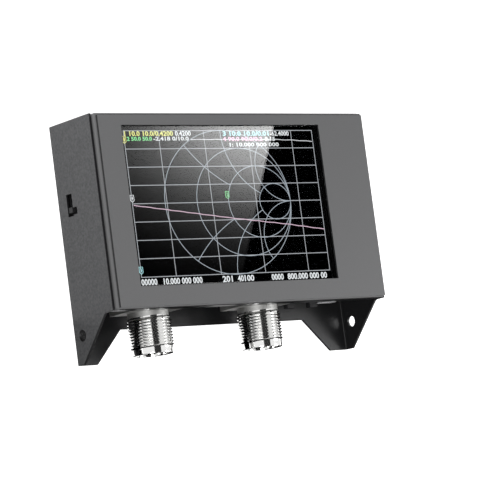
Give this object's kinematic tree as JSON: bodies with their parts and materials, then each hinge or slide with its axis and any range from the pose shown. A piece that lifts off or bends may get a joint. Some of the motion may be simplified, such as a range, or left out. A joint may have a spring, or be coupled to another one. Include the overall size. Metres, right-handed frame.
{
  "type": "antenna analyzer",
  "caption": "Hand-size antenna analyzer in a folded sheet-metal case, with a flat display in front and two threaded coaxial jacks between corner guard legs.",
  "frame": {"origin": "middle of the bottom of the whole box, on the rear plate's outer face, halfway across and halfway from the legs' ends to the top edge", "axes": "+X to the right of the display, +Y to its top, +Z out of it; the analyzer lies on its back"},
  "size_m": [0.124, 0.0848, 0.0277],
  "materials": {
    "case_coat": "dark grey fine powder coat",
    "cover_coat": "dark grey smooth matte paint",
    "touch_glass": "clear glossy glass over a black display",
    "display_black": "black display cell",
    "adhesive": "black foam adhesive",
    "bright_steel": "thin rolled steel",
    "light_guide": "white film",
    "board_mask": "dark green solder mask",
    "moulded_black": "moulded black plastic",
    "jack_plating": "polished nickel plating",
    "white_resin": "white fluoropolymer",
    "gold_plating": "gold plated",
    "slider_grey": "dark grey moulded plastic",
    "lamp_resin": "pale clear resin",
    "post_brass": "turned brass",
    "black_steel": "black oxide steel",
    "pouch_foil": "matte pouch foil",
    "ribbon_film": "amber film",
    "lead_jacket": "soft red and black jacket",
    "connector_white": "off-white moulded plastic"
  },
  "bodies": {
    "case": {"rear_shell": "case_coat", "front_cover": "case_coat", "front_plate": "cover_coat", "screen_gasket": "adhesive", "screen_glass": "touch_glass", "display_frame": "bright_steel", "back_light": "light_guide", "display_cell": "display_black", "display_ribbon": "ribbon_film", "ribbon_socket": "connector_white", "main_board": "board_mask", "board_chips": "moulded_black", "shield_cans": "bright_steel", "port_1_jack": "jack_plating", "port_1_insulator": "white_resin", "port_1_contact": "gold_plating", "port_2_jack": "jack_plating", "port_2_insulator": "white_resin", "port_2_contact": "gold_plating", "usb_socket": "bright_steel", "usb_tongue": "moulded_black", "button_bodies": "moulded_black", "power_switch": "moulded_black", "status_lamps": "lamp_resin", "front_posts": "post_brass", "rear_posts": "post_brass", "case_screws": "black_steel", "battery": "pouch_foil", "battery_pad": "adhesive", "battery_leads": "lead_jacket", "battery_plug": "connector_white", "battery_socket": "connector_white"},
    "power_slider": {"power_slider": "slider_grey"},
    "button_left": {"button_cap_left": "moulded_black"},
    "button_right": {"button_cap_right": "moulded_black"}
  },
  "joints": [
    {"name": "power_slide", "type": "slide", "parent": "case", "child": "power_slider", "axis": [0, 1, 0], "range_m": [0, 0.004]},
    {"name": "button_left_press", "type": "slide", "parent": "case", "child": "button_left", "axis": [0, 1, 0], "range_m": [0, 0.0004], "stiffness_N_per_m": 300},
    {"name": "button_right_press", "type": "slide", "parent": "case", "child": "button_right", "axis": [0, 1, 0], "range_m": [0, 0.0004], "stiffness_N_per_m": 300}
  ]
}
